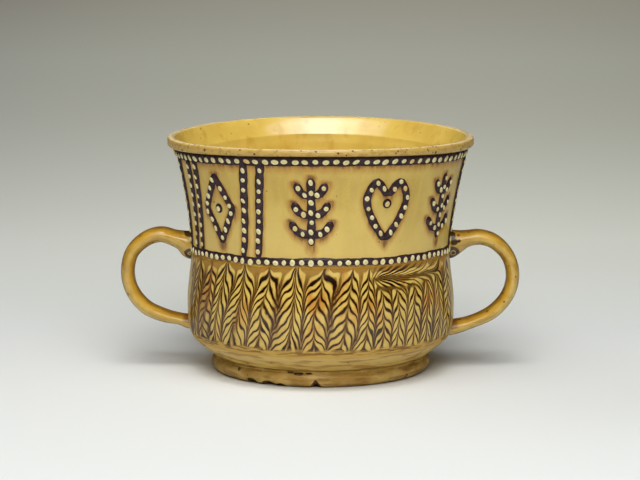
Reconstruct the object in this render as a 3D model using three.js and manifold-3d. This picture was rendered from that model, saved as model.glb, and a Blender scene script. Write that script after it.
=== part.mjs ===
// Two-handled slipware cup: a thrown body on a turned foot, two pulled handles, a coat of
// feathered slip round the belly, and raised slip trails set with dots on the upper wall.
// Millimetres, +Z up, the handles along X and the front towards -Y.
import * as THREE from 'three';
import { mergeVertices } from 'three/addons/utils/BufferGeometryUtils.js';
import Module from 'manifold-3d';

const wasm = await Module();
wasm.setup();

// Clay that meets clay keeps this seam
const seam = 0.3;

// Turned foot: a low disc with a rounded edge and a shallow hollow under it
const footHeight = 7.6;
const footRadius = 51.3;
const footRestRadius = 47.8;
const footRestInset = 9.5;
const footHollowDepth = 0.9;
const footEdgeSweep = 60;

// Wear on the foot's lower edge: angle round the cup, width and height of each chip
const chips = [
  { angle: 269, width: 7.0, height: 4.0 },
  { angle: 233, width: 3.2, height: 1.3 },
  { angle: 322, width: 2.8, height: 1.2 },
];

// Thrown body, each height a rise above the one before
const neckRadius = 50.4;
const heelRise = 10.9;
const heelRadius = 61.3;
const bellyRise = 13.0;
const bellyRadius = 62.2;
const waistRise = 24.5;
const waistRadius = 60.2;
const flareRise = 50.0;
const flareRadius = 67.8;
const flareCurve = 1.62;
const neckSlope = 1.35;
const heelSlope = 0.22;
const wallThickness = 4.8;
const floorThickness = 5.5;
const floorCornerRadius = 17.0;

// Everted lip: a rounded band round the mouth that thins to the crest
const lipOverhang = 3.4;
const lipBandHeight = 3.8;
const lipBandDepth = 4.2;
const lipSweep = 130;
const lipThroat = 8.6;

// The firing pulled the mouth into a slight saddle: low over the handles, high at front and back
const saddleAtLip = 0.7;
const saddleAtFlare = 1.5;

// Feathered slip coat round the belly, let into the body so that it lies flush
const coatThickness = 0.7;
const coatRise = 9.0;
const coatHeight = 39.5;

// Slip trails and their dots
const trailWidth = 3.7;
const trailRelief = 0.9;
const trailCrown = 0.74;
const dotRadius = 1.3;
const dotRelief = 0.6;
const dotSides = 4;
const borderPitch = 4.25;
const rulePitch = 4.6;
const motifPitch = 4.4;

// The upper border tucks under the lip, and the lower one lies this far over the waist
const lowerBorderRise = 2.3;

// Upright rules and motifs on the front half. The back half repeats them half a turn on.
const ruleAngles = [193.5, 203.8, 209.4, 237.2, 244.3, 350.5];
const lozenge = { width: 17.0, height: 30.0, draw: lozengeStrokes, pellet: 0 };
const sprig = { width: 21.0, height: 31.0, draw: sprigStrokes };
const heart = { width: 22.0, height: 27.0, draw: heartStrokes, pellet: 0.12 };
const motifs = [
  { name: 'lozenge', angle: 223.3, ...lozenge },
  { name: 'sprig_a', angle: 266.1, ...sprig },
  { name: 'heart', angle: 298.0, ...heart },
  { name: 'sprig_b', angle: 329.9, ...sprig },
];
const pelletRadius = 2.2;

// Pulled handles: depth of the strap from front to back at its joints and round the loop
const strapDepth = 12.0;
const upperJointDepth = 18.0;
const lowerJointDepth = 14.0;

// Each handle's middle line in its own plane: reach off the wall, height as a share of the way
// from the heel up to the waist, thickness. The root runs on into the wall.
const handleRoot = 5.0;
const handleRootDrop = 1.0;
const rightLoop = [
  [0.5, 1.06, 13.6],
  [4.3, 1.09, 10.6],
  [8.0, 1.12, 8.0],
  [13.8, 1.14, 7.3],
  [20.7, 1.085, 7.0],
  [27.1, 0.91, 6.5],
  [28.8, 0.68, 6.4],
  [25.9, 0.425, 6.3],
  [18.7, 0.195, 6.4],
  [8.5, 0.06, 6.0],
  [0.7, 0.0, 7.2],
];
const leftLoop = [
  [0.6, 1.035, 15.2],
  [4.3, 1.085, 10.6],
  [8.2, 1.13, 7.8],
  [14.1, 1.175, 7.4],
  [21.4, 1.115, 7.2],
  [28.0, 0.945, 6.7],
  [29.2, 0.7, 6.6],
  [26.3, 0.465, 6.6],
  [19.6, 0.25, 6.8],
  [10.4, 0.14, 6.6],
  [0.4, 0.075, 7.0],
];

// Facets
const turnSegments = 48;
const strapSides = 10;
const strapSteps = 24;

// Heights that follow from the rises
const neckZ = footHeight + seam;
const heelZ = neckZ + heelRise;
const bellyZ = heelZ + bellyRise;
const waistZ = bellyZ + waistRise;
const flareZ = waistZ + flareRise;
const lipMidZ = flareZ + lipBandHeight / 2;
const lipRadius = flareRadius + lipOverhang;
const coatBottomZ = neckZ + coatRise;
const coatTopZ = coatBottomZ + coatHeight;
const upperBorderZ = flareZ - seam - trailWidth / 2;
const lowerBorderZ = waistZ + lowerBorderRise;

const radians = THREE.MathUtils.degToRad;

// Smooth blend between two radii with a given slope at each end
function hermite(z, z0, r0, slope0, z1, r1, slope1) {
  const h = z1 - z0;
  const t = (z - z0) / h;
  const t2 = t * t;
  const t3 = t2 * t;
  const start = (2 * t3 - 3 * t2 + 1) * r0 + (t3 - 2 * t2 + t) * h * slope0;
  const end = (3 * t2 - 2 * t3) * r1 + (t3 - t2) * h * slope1;
  return start + end;
}

// Radius of the outside of the wall at a height below the lip
function wallRadius(z) {
  if (z < heelZ) return hermite(z, neckZ, neckRadius, neckSlope, heelZ, heelRadius, heelSlope);
  if (z < bellyZ) return hermite(z, heelZ, heelRadius, heelSlope, bellyZ, bellyRadius, 0);
  if (z < waistZ) return hermite(z, bellyZ, bellyRadius, 0, waistZ, waistRadius, 0);
  return waistRadius + (flareRadius - waistRadius) * Math.pow((z - waistZ) / flareRise, flareCurve);
}

function steps(from, to, count) {
  return Array.from({ length: count + 1 }, (_, i) => from + ((to - from) * i) / count);
}

// Heights at which the outside is drawn, closer together where it curves hard
function wallHeights(from, to) {
  const all = [
    ...steps(neckZ, heelZ, 4),
    ...steps(heelZ, bellyZ, 2),
    ...steps(bellyZ, waistZ, 2),
    ...steps(waistZ, flareZ, 4),
  ];
  const inside = all.filter((z) => z > from + seam && z < to - seam);
  return [from, ...inside.filter((z, i) => i === 0 || z - inside[i - 1] > seam), to];
}

// Turned section from points of radius and height, closed on the axis or on itself
function turned(points, segments = turnSegments) {
  const profile = points.map(([r, z]) => new THREE.Vector2(r, z));
  const geometry = new THREE.LatheGeometry(profile, segments);
  geometry.rotateX(Math.PI / 2);
  return geometry;
}

// Saddle of the mouth, growing from nothing at the belly
function saddle(point) {
  const amount =
    point.z < flareZ
      ? saddleAtFlare * Math.max(0, (point.z - bellyZ) / (flareZ - bellyZ))
      : THREE.MathUtils.lerp(saddleAtFlare, saddleAtLip, (point.z - flareZ) / lipBandHeight);
  point.z -= amount * Math.cos(2 * Math.atan2(point.y, point.x));
  return point;
}

function warped(geometry) {
  const position = geometry.getAttribute('position');
  const point = new THREE.Vector3();
  for (let i = 0; i < position.count; i += 1) {
    saddle(point.fromBufferAttribute(position, i));
    position.setXYZ(i, point.x, point.y, point.z);
  }
  return geometry;
}

// Solid for cutting and joining
function solid(geometry) {
  const bare = geometry.clone();
  bare.deleteAttribute('normal');
  bare.deleteAttribute('uv');
  const merged = mergeVertices(bare, 1e-4);
  const mesh = new wasm.Mesh({
    numProp: 3,
    vertProperties: new Float32Array(merged.getAttribute('position').array),
    triVerts: new Uint32Array(merged.index.array),
  });
  mesh.merge();
  return new wasm.Manifold(mesh);
}

function geometryOf(manifold) {
  const mesh = manifold.getMesh();
  const geometry = new THREE.BufferGeometry();
  geometry.setAttribute('position', new THREE.BufferAttribute(new Float32Array(mesh.vertProperties), 3));
  geometry.setIndex(new THREE.BufferAttribute(new Uint32Array(mesh.triVerts), 1));
  return geometry;
}

// Lofted skin through rings of points, open rings capped at both ends or the run closed on itself
function loft(rings, closed = false) {
  const size = rings[0].length;
  const position = rings.flat().flatMap((p) => [p.x, p.y, p.z]);
  const index = [];
  const runs = closed ? rings.length : rings.length - 1;
  for (let i = 0; i < runs; i += 1) {
    const next = (i + 1) % rings.length;
    for (let j = 0; j < size; j += 1) {
      const k = (j + 1) % size;
      const a = i * size + j;
      const b = i * size + k;
      const c = next * size + k;
      const d = next * size + j;
      index.push(a, b, c, a, c, d);
    }
  }
  if (!closed) {
    const last = (rings.length - 1) * size;
    for (let j = 1; j < size - 1; j += 1) {
      index.push(0, j + 1, j);
      index.push(last, last + j, last + j + 1);
    }
  }
  const geometry = new THREE.BufferGeometry();
  geometry.setAttribute('position', new THREE.Float32BufferAttribute(position, 3));
  geometry.setIndex(index);
  return geometry;
}

// Turned foot with its chips
function footGeometry() {
  const edge = footRadius - footRestRadius;
  const rounded = steps(-90, footEdgeSweep, 4).map((degrees) => {
    const a = radians(degrees);
    return [
      footRestRadius + edge * Math.cos(a),
      (footHeight / 2) * (1 + Math.sin(a) * 0.94) - (footHeight / 2) * 0.06,
    ];
  });
  const restInner = footRestRadius - footRestInset;
  const section = [
    [0, footHollowDepth],
    [restInner - 3 * footHollowDepth, footHollowDepth],
    [restInner, 0],
    [footRestRadius, 0],
    ...rounded.slice(1),
    [neckRadius, footHeight],
    [0, footHeight],
  ];
  let foot = solid(turned(section));
  for (const chip of chips) {
    const wedge = new THREE.ConeGeometry(chip.width / 2, chip.height, 4);
    wedge.rotateX(Math.PI / 2);
    wedge.scale(2.2, 1, 1);
    wedge.translate(footRestRadius + edge / 2, 0, chip.height / 2);
    wedge.rotateZ(radians(chip.angle));
    foot = foot.subtract(solid(wedge));
  }
  return geometryOf(foot);
}

// Rounded lip from the flare's top over the crest to the throat, as a squared arc
function lipSection() {
  const middle = lipRadius - lipBandDepth / 2;
  return steps(-90, lipSweep, 6).map((degrees) => {
    const a = radians(degrees);
    const squared = (value) => Math.sign(value) * Math.pow(Math.abs(value), 0.75);
    return [
      middle + (lipBandDepth / 2) * squared(Math.cos(a)),
      lipMidZ + (lipBandHeight / 2) * squared(Math.sin(a)),
    ];
  });
}

// Outside of the body with the shallow bed that the coat lies in, grown outwards by a clearance
function outsideSection(grow) {
  const bed = coatThickness + seam;
  const plain = (z) => [wallRadius(z) + grow, z];
  const bedded = (z) => [wallRadius(z) - bed + grow, z];
  return [
    ...wallHeights(neckZ, coatBottomZ - seam).map(plain),
    ...wallHeights(coatBottomZ - seam, coatTopZ + seam).map(bedded),
    ...wallHeights(coatTopZ + seam, flareZ).map(plain),
  ];
}

function bodyGeometry() {
  const floorZ = neckZ + floorThickness;
  const cornerZ = floorZ + floorCornerRadius;
  const throatZ = flareZ - lipThroat + lipBandHeight;
  const inner = (z) => wallRadius(z) - wallThickness;
  const wallInside = steps(throatZ, cornerZ, 3).map((z) => [inner(z), z]);
  const corner = steps(25, 90, 3).map((degrees) => {
    const a = radians(degrees);
    return [
      inner(cornerZ) - floorCornerRadius * (1 - Math.cos(a)),
      cornerZ - floorCornerRadius * Math.sin(a),
    ];
  });
  const section = [
    [0, neckZ],
    ...outsideSection(0),
    ...lipSection(),
    ...wallInside,
    ...corner,
    [0, floorZ],
  ];
  return warped(turned(section));
}

// The body without its hollow, grown by the seam, to cut what is set against it
function bodyCutter() {
  return solid(warped(turned([[0, neckZ], ...outsideSection(seam), [0, flareZ]])));
}

// Sleeve of slip in its bed round the belly, open where the handles are set on
function coatGeometry(handleCutters) {
  const heights = wallHeights(coatBottomZ, coatTopZ);
  const outside = heights.map((z) => [wallRadius(z), z]);
  const inside = heights.map((z) => [wallRadius(z) - coatThickness, z]).reverse();
  const sleeve = solid(warped(turned([...outside, ...inside, outside[0]])));
  return geometryOf(handleCutters.reduce((left, cutter) => left.subtract(cutter), sleeve));
}

// Point on the wall by angle round the cup, height, and lift off the wall
function onWall(angle, z, lift) {
  const r = wallRadius(z) + lift;
  return new THREE.Vector3(r * Math.cos(angle), r * Math.sin(angle), z);
}

// Section of a trail: offset across it and lift off the wall
function trailSection() {
  const half = trailWidth / 2;
  return [
    [-half, seam],
    [-half * trailCrown, seam + trailRelief],
    [half * trailCrown, seam + trailRelief],
    [half, seam],
  ];
}

// Domed trail of slip along points of angle and height
function trail(points, closed = false) {
  const section = trailSection();
  const count = points.length;
  const scale = wallRadius(points[0].y);
  const at = (i) => points[closed ? (i + count) % count : THREE.MathUtils.clamp(i, 0, count - 1)];
  const direction = (from, to) => {
    return new THREE.Vector2((to.x - from.x) * scale, to.y - from.y).normalize();
  };
  const rings = points.map((point, i) => {
    const before = i > 0 || closed ? direction(at(i - 1), point) : direction(point, at(i + 1));
    const after = i < count - 1 || closed ? direction(point, at(i + 1)) : before;
    const along = before.clone().add(after).normalize();
    const mitre = 1 / Math.max(0.5, along.dot(after));
    const across = new THREE.Vector2(along.y, -along.x).multiplyScalar(mitre);
    return section.map(([offset, lift]) => {
      return onWall(point.x + (across.x * offset) / scale, point.y + across.y * offset, lift);
    });
  });
  return solid(warped(loft(rings, closed)));
}

// Number of dots that fit a length, made even so that each facet of a trail carries two
function dotCount(length, pitch) {
  return Math.max(2, 2 * Math.round(length / pitch / 2));
}

// Places at a pitch along a run: centred on an open one, evened out round a closed one
function pitched(points, pitch, closed = false) {
  const scale = wallRadius(points[0].y);
  const run = closed ? [...points, points[0]] : points;
  const path = new THREE.CurvePath();
  for (let i = 0; i < run.length - 1; i += 1) {
    const from = new THREE.Vector2(run[i].x * scale, run[i].y);
    const to = new THREE.Vector2(run[i + 1].x * scale, run[i + 1].y);
    path.add(new THREE.LineCurve(from, to));
  }
  const length = path.getLength();
  const count = closed ? Math.round(length / pitch) : Math.floor(length / pitch);
  const step = closed ? length / count : pitch;
  const first = (length - step * (count - 1)) / 2;
  return Array.from({ length: count }, (_, i) => {
    const place = path.getPointAt((first + i * step) / length);
    return new THREE.Vector2(place.x / scale, place.y);
  });
}

// Direction straight out of the wall
function wallNormal(angle, z) {
  const slope = (wallRadius(z + seam) - wallRadius(z - seam)) / (2 * seam);
  return new THREE.Vector3(Math.cos(angle), Math.sin(angle), -slope).normalize();
}

// Stands a small upright solid on the wall, at a lift off it
function stoodOnWall(geometry, place, lift) {
  const outward = wallNormal(place.x, place.y);
  const middle = onWall(place.x, place.y, 0).addScaledVector(outward, lift);
  const turn = new THREE.Quaternion().setFromUnitVectors(new THREE.Vector3(0, 1, 0), outward);
  geometry.applyQuaternion(turn);
  return warped(geometry.translate(middle.x, middle.y, middle.z));
}

// Low peaked dots of slip standing on a trail
function dots(places) {
  const root = trailRelief * 0.4;
  return places.map((place) => {
    const tall = root + dotRelief;
    const dot = new THREE.ConeGeometry(dotRadius, tall, dotSides, 1);
    return solid(stoodOnWall(dot, place, seam + trailRelief - root + tall / 2));
  });
}

function joined(solids) {
  return solids.reduce((all, next) => all.add(next));
}

// Half of a border, between the two handles
function borderGeometry(z, half, ends, pitch) {
  const reach = radians(180) - 2 * ends;
  const start = radians(half === 'front' ? 180 : 0) + ends;
  const facets = dotCount(reach * wallRadius(z), pitch) / 2;
  const points = steps(start, start + reach, facets).map((angle) => new THREE.Vector2(angle, z));
  return geometryOf(joined([trail(points), ...dots(pitched(points, pitch))]));
}

// Whole border round the cup, turned from the section of a trail
function ringGeometry(z, pitch) {
  const section = trailSection().map(([offset, lift]) => [wallRadius(z + offset) + lift, z + offset]);
  const count = dotCount(2 * Math.PI * wallRadius(z), pitch);
  const ring = solid(warped(turned([...section, section[0]], count / 2)));
  const places = Array.from({ length: count }, (_, i) => {
    return new THREE.Vector2(radians(((i + 0.5) * 360) / count - 90), z);
  });
  return geometryOf(joined([ring, ...dots(places)]));
}

// Upright rule between the two borders
function ruleGeometry(degrees) {
  const clear = trailWidth / 2 + seam;
  const bottom = lowerBorderZ + clear;
  const top = upperBorderZ - clear;
  const facets = dotCount(top - bottom, rulePitch) / 2;
  const points = steps(bottom, top, facets).map((z) => new THREE.Vector2(radians(degrees), z));
  return geometryOf(joined([trail(points), ...dots(pitched(points, rulePitch))]));
}

// Strokes of the motifs in a frame of their own: x from -0.5 to 0.5 of the width, y of the height
function spline(points, count) {
  const curve = new THREE.SplineCurve(points.map(([x, y]) => new THREE.Vector2(x, y)));
  return curve.getPoints(count);
}

function mirrored(stroke) {
  return stroke.map((p) => new THREE.Vector2(-p.x, p.y));
}

// Upright stem with three pairs of leaves that curve up from it
function sprigStrokes() {
  const stem = spline([[0, -0.5], [0, 0.5]], 2);
  const leaves = [-0.34, -0.06, 0.22].flatMap((foot, i) => {
    const reach = 0.46 - 0.07 * i;
    const leaf = spline([[0, foot], [reach * 0.62, foot + 0.05], [reach, foot + 0.2]], 3);
    return [leaf, mirrored(leaf)];
  });
  return [stem, ...leaves];
}

function heartStrokes() {
  const side = spline([[0, -0.5], [0.34, -0.1], [0.45, 0.22], [0.26, 0.48], [0, 0.24]], 7);
  return [side, mirrored(side)];
}

function lozengeStrokes() {
  const outline = [[0, -0.5], [0.5, 0], [0, 0.5], [-0.5, 0]].map(([x, y]) => new THREE.Vector2(x, y));
  outline.closed = true;
  return [outline];
}

const motifZ = (lowerBorderZ + upperBorderZ) / 2;

function motifGeometry({ draw, angle, width, height }, turn) {
  const scale = wallRadius(motifZ);
  const place = (p) => {
    return new THREE.Vector2(radians(angle + turn) + (p.x * width) / scale, motifZ + p.y * height);
  };
  const strokes = draw().map((stroke) => ({ points: stroke.map(place), closed: !!stroke.closed }));
  const bodies = strokes.map(({ points, closed }) => trail(points, closed));
  const places = strokes.flatMap(({ points, closed }) => pitched(points, motifPitch, closed));
  const apart = places.filter((place, i) => {
    return places.slice(0, i).every((other) => {
      const across = (place.x - other.x) * scale;
      return Math.hypot(across, place.y - other.y) > 2 * dotRadius;
    });
  });
  return geometryOf(joined([...bodies, ...dots(apart)]));
}

// Round pellet of slip in the middle of a motif
function pelletGeometry({ angle, height, pellet }, turn) {
  const drop = new THREE.CylinderGeometry(pelletRadius * trailCrown, pelletRadius, trailRelief, 8);
  const place = new THREE.Vector2(radians(angle + turn), motifZ + pellet * height);
  return stoodOnWall(drop, place, seam + trailRelief / 2);
}

// Pulled handle as a loft of oval sections along its middle line, on the side given by sign
function handleSolid(loop, sign, grow) {
  const placed = loop.map(([reach, share, thick]) => {
    const z = THREE.MathUtils.lerp(heelZ, waistZ, share);
    return [wallRadius(z) + reach, z, thick];
  });
  const rooted = ([x, z, thick]) => [x - handleRoot, z - handleRootDrop, thick];
  const stations = [rooted(placed[0]), ...placed, rooted(placed[placed.length - 1])];
  const line = new THREE.CatmullRomCurve3(
    stations.map(([x, z]) => new THREE.Vector3(x, 0, z)),
    false,
    'centripetal',
  );
  const thickness = new THREE.SplineCurve(stations.map(([, , t], i) => new THREE.Vector2(i, t)));
  const rings = steps(0, 1, strapSteps).map((t) => {
    const centre = line.getPoint(t);
    const along = line.getTangent(t);
    const across = new THREE.Vector3(-along.z, 0, along.x);
    const half = thickness.getPoint(t).y / 2 + grow;
    const swell = Math.pow(Math.abs(2 * t - 1), 5);
    const joint = t < 0.5 ? upperJointDepth : lowerJointDepth;
    const depth = THREE.MathUtils.lerp(strapDepth, joint, swell) / 2 + grow;
    return steps(0, radians(360), strapSides).slice(0, -1).map((a) => {
      const point = centre.clone().addScaledVector(across, half * Math.cos(a));
      point.y += depth * Math.sin(a);
      point.x *= sign;
      return point;
    });
  });
  if (sign > 0) rings.reverse();
  return solid(loft(rings));
}

function material(colour, roughness) {
  return new THREE.MeshStandardMaterial({ color: colour, roughness, metalness: 0 });
}

const glazedClay = material('#b8984a', 0.25);
const footClay = material('#a38244', 0.35);
const handleGlaze = material('#c8a544', 0.22);
const featheredSlip = material('#8a6236', 0.25);
const darkSlip = material('#34222a', 0.2);

const cup = new THREE.Group();

function add(name, geometry, finish) {
  const mesh = new THREE.Mesh(geometry, finish);
  mesh.name = name;
  cup.add(mesh);
}

const cutter = bodyCutter();
const loops = [
  { name: 'handle_left', loop: leftLoop, sign: -1 },
  { name: 'handle_right', loop: rightLoop, sign: 1 },
];
const handleClearances = loops.map(({ loop, sign }) => handleSolid(loop, sign, seam));

add('turned_foot', footGeometry(), footClay);
add('vessel_body', bodyGeometry(), glazedClay);
add('feathered_slip_coat', coatGeometry(handleClearances), featheredSlip);
for (const { name, loop, sign } of loops) {
  add(name, geometryOf(handleSolid(loop, sign, 0).subtract(cutter)), handleGlaze);
}

add('upper_border', ringGeometry(upperBorderZ, borderPitch), darkSlip);
const borderEnds = Math.asin((upperJointDepth / 2 + trailWidth / 2) / waistRadius);
for (const half of ['front', 'back']) {
  add(`lower_border_${half}`, borderGeometry(lowerBorderZ, half, borderEnds, borderPitch), darkSlip);
  const turn = half === 'front' ? 0 : 180;
  ruleAngles.forEach((angle, i) => {
    add(`rule_${half}_${i + 1}`, ruleGeometry(angle + turn), darkSlip);
  });
  for (const motif of motifs) {
    add(`${half}_${motif.name}`, motifGeometry(motif, turn), darkSlip);
    if (motif.pellet !== undefined) {
      add(`${half}_${motif.name}_pellet`, pelletGeometry(motif, turn), darkSlip);
    }
  }
}

export default cup;
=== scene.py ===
import math
import random

import bpy
import numpy as np
from mathutils import Matrix, Vector


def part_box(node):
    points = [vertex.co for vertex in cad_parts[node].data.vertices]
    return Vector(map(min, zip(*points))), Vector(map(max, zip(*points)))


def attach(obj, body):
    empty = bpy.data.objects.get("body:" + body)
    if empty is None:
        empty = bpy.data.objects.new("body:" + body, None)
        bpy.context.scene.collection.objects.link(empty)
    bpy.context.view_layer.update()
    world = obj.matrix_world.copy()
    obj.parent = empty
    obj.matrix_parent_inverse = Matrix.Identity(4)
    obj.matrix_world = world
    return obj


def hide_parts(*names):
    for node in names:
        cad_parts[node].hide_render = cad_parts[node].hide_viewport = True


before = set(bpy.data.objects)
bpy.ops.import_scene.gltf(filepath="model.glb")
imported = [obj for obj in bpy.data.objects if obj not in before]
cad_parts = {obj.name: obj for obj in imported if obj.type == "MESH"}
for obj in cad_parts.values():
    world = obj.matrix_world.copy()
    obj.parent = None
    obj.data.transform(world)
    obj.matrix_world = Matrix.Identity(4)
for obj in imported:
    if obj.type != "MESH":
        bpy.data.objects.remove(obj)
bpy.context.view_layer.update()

# A two-handled slipware cup: thrown body on a turned foot, two pulled handles, a belly of
# feathered slip, and raised slip trails set with dots on the upper wall.
# Sizes are written in millimetres and reach Blender in metres.
mm = 0.001

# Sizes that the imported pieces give
_, foot_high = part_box("turned_foot")
body_low, body_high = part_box("vessel_body")
foot_radius = foot_high.x
foot_height = foot_high.z
neck_z = body_low.z
lip_radius = body_high.x

# Thrown body: heights above the foot and radii of the outside
seam = 0.3 * mm
neck_radius = 50.4 * mm
heel_z = neck_z + 10.9 * mm
heel_radius = 61.3 * mm
belly_z = heel_z + 13.0 * mm
belly_radius = 62.2 * mm
waist_z = belly_z + 24.5 * mm
waist_radius = 60.2 * mm
flare_z = waist_z + 50.0 * mm
flare_radius = 67.8 * mm
flare_curve = 1.62
neck_slope = 1.35
heel_slope = 0.22
wall_thickness = 4.8 * mm
floor_thickness = 5.5 * mm
floor_corner = 17.0 * mm
throwing_pitch = 3.6 * mm
ring_pitch = 5.2 * mm
ring_height = 0.07 * mm

# Everted lip and the saddle that the firing left in the mouth
lip_band_height = 3.8 * mm
lip_band_depth = 4.2 * mm
lip_throat = 8.6 * mm
lip_mid_z = flare_z + lip_band_height / 2
saddle_at_lip = 0.7 * mm
saddle_at_flare = 1.5 * mm

# Feathered slip round the belly
coat_bottom_z = neck_z + 8.2 * mm
coat_top_z = neck_z + 49.2 * mm
coat_lift = 0.12 * mm

# Slip trails
trail_width = 3.7 * mm
trail_relief = 0.85 * mm
trail_step = 1.4 * mm
ribbon_radius = trail_width / 2 * 1.08
dot_gap = 2.7 * mm
pellet_radius = 2.2 * mm
upper_border_z = flare_z - seam - trail_width / 2
lower_border_z = waist_z + 2.3 * mm
motif_z = (upper_border_z + lower_border_z) / 2
border_pitch = 4.25 * mm
rule_pitch = 4.6 * mm
motif_pitch = 4.4 * mm
rule_lean = 2.2
rule_angles = [193.5, 203.8, 209.4, 237.2, 244.3, 350.5]

# Handles: reach off the wall, height as a share of the way from heel to waist, thickness
strap_depth = 12.0 * mm
upper_joint_depth = 18.0 * mm
lower_joint_depth = 14.0 * mm
right_loop = [
    (0.5, 1.06, 13.6),
    (4.3, 1.09, 10.6),
    (8.0, 1.12, 8.0),
    (13.8, 1.14, 7.3),
    (20.7, 1.085, 7.0),
    (27.1, 0.91, 6.5),
    (28.8, 0.68, 6.4),
    (25.9, 0.425, 6.3),
    (18.7, 0.195, 6.4),
    (8.5, 0.06, 6.0),
    (0.7, 0.0, 7.2),
]
left_loop = [
    (0.6, 1.05, 13.6),
    (4.3, 1.095, 9.8),
    (8.2, 1.13, 7.8),
    (14.1, 1.175, 7.4),
    (21.4, 1.115, 7.2),
    (28.0, 0.945, 6.7),
    (29.2, 0.7, 6.6),
    (26.3, 0.465, 6.6),
    (19.6, 0.25, 6.8),
    (10.4, 0.14, 6.2),
    (4.2, 0.105, 5.5),
    (0.4, 0.075, 6.6),
]

# Points closer than these are one point
weld = 0.01 * mm
slip_weld = 0.02 * mm

hand = random.Random(1723)


# The wall as a form that everything is laid on
def eased(z, z0, r0, slope0, z1, r1, slope1):
    """Radius that blends from one height to another with a given slope at each end."""
    h = z1 - z0
    t = (z - z0) / h
    start = (2 * t**3 - 3 * t**2 + 1) * r0 + (t**3 - 2 * t**2 + t) * h * slope0
    end = (3 * t**2 - 2 * t**3) * r1 + (t**3 - t**2) * h * slope1
    return start + end


def wall_radius(z):
    """Radius of the outside of the wall at heights below the lip."""
    z = np.asarray(z, float)
    rise = np.clip((z - waist_z) / (flare_z - waist_z), 0, 1.1)
    flare = waist_radius + (flare_radius - waist_radius) * rise**flare_curve
    neck = eased(z, neck_z, neck_radius, neck_slope, heel_z, heel_radius, heel_slope)
    heel = eased(z, heel_z, heel_radius, heel_slope, belly_z, belly_radius, 0)
    belly = eased(z, belly_z, belly_radius, 0, waist_z, waist_radius, 0)
    return np.select([z < heel_z, z < belly_z, z < waist_z], [neck, heel, belly], flare)


def radius_at(z):
    return float(wall_radius(z))


def saddle(angle, z):
    """How far the mouth drops over the handles and rises at front and back."""
    below = saddle_at_flare * np.clip((z - belly_z) / (flare_z - belly_z), 0, 1)
    share = np.clip((z - flare_z) / lip_band_height, 0, 1)
    amount = below + (saddle_at_lip - saddle_at_flare) * share
    return amount * np.cos(2 * angle)


def thrown_unevenness(angle, z):
    """Slow swell of a wall that came off the wheel a little out of round."""
    rise = np.clip((z - heel_z) / (flare_z - heel_z), 0, 1)
    return 0.14 * mm * rise * np.sin(2 * angle + 0.7) + 0.07 * mm * np.sin(3 * angle + 90 * z)


def on_wall(angle, z, lift):
    """Points by angle round the cup, height, and lift straight off the wall."""
    slope = (wall_radius(z + seam) - wall_radius(z - seam)) / (2 * seam)
    steepness = np.sqrt(1 + slope**2)
    r = wall_radius(z) + thrown_unevenness(angle, z) + lift / steepness
    height = z - lift * slope / steepness
    return np.stack([r * np.cos(angle), r * np.sin(angle), height - saddle(angle, height)], -1)


# Bench work
def put_down():
    """Leaves nothing selected, in object mode."""
    if bpy.context.object and bpy.context.object.mode != "OBJECT":
        bpy.ops.object.mode_set(mode="OBJECT")
    bpy.ops.object.select_all(action="DESELECT")


def pick(piece, *others):
    put_down()
    for other in (piece, *others):
        other.select_set(True)
    bpy.context.view_layer.objects.active = piece


def rows_of(items, name):
    """The three numbers that each item has under a name."""
    rows = np.empty(len(items) * 3, np.float32)
    items.foreach_get(name, rows)
    return rows.reshape(-1, 3).astype(float)


def points_of(piece):
    return rows_of(piece.data.vertices, "co")


def set_points(piece, co):
    piece.data.vertices.foreach_set("co", np.asarray(co, np.float32).ravel())
    piece.data.update()


def paint(piece, name, values):
    """Stores one number at each vertex, for the materials to read."""
    layer = piece.data.attributes.get(name) or piece.data.attributes.new(name, "FLOAT", "POINT")
    layer.data.foreach_set("value", np.asarray(values, np.float32))


def apply_modifier(piece, kind, **settings):
    modifier = piece.modifiers.new(kind.title(), kind)
    for name, value in settings.items():
        setattr(modifier, name, value)
    pick(piece)
    bpy.ops.object.modifier_apply(modifier=modifier.name)


def set_out(name, data):
    """A new object in the scene."""
    piece = bpy.data.objects.new(name, data)
    bpy.context.scene.collection.objects.link(piece)
    return piece


def mark_all():
    bpy.ops.mesh.select_all(action="SELECT")


def open_up(piece):
    """Opens a piece in edit mode with all of it marked. put_down() closes it."""
    pick(piece)
    bpy.ops.object.mode_set(mode="EDIT")
    mark_all()


def settle(piece):
    """Puts the piece's place into its mesh, so that its object sits at the origin."""
    pick(piece)
    bpy.ops.object.transform_apply(location=True, rotation=True, scale=True)


def finish(piece, name, slot, *nodes, angle=60):
    """Names a finished piece, smooths it, and lets it ride on the cup."""
    piece.name = name
    piece.data.name = name
    pick(piece)
    bpy.ops.object.shade_smooth_by_angle(angle=math.radians(angle))
    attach(piece, "root")
    if nodes:
        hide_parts(*nodes)
    return piece


def turned(profile, steps):
    """Draws a profile point by point and spins it round the cup's axis."""
    put_down()
    r0, z0 = profile[0]
    bpy.ops.mesh.primitive_plane_add(size=mm, location=(r0, 0, z0))
    piece = bpy.context.object
    settle(piece)
    open_up(piece)
    bpy.ops.mesh.merge(type="CENTER")
    for (r1, z1), (r2, z2) in zip(profile, profile[1:]):
        step = {"value": (r2 - r1, 0, z2 - z1)}
        bpy.ops.mesh.extrude_vertices_move(TRANSFORM_OT_translate=step)
    mark_all()
    bpy.ops.mesh.spin(steps=steps, angle=math.tau, center=(0, 0, 0), axis=(0, 0, 1))
    mark_all()
    bpy.ops.mesh.remove_doubles(threshold=weld)
    bpy.ops.mesh.normals_make_consistent(inside=False)
    put_down()
    return piece


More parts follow.
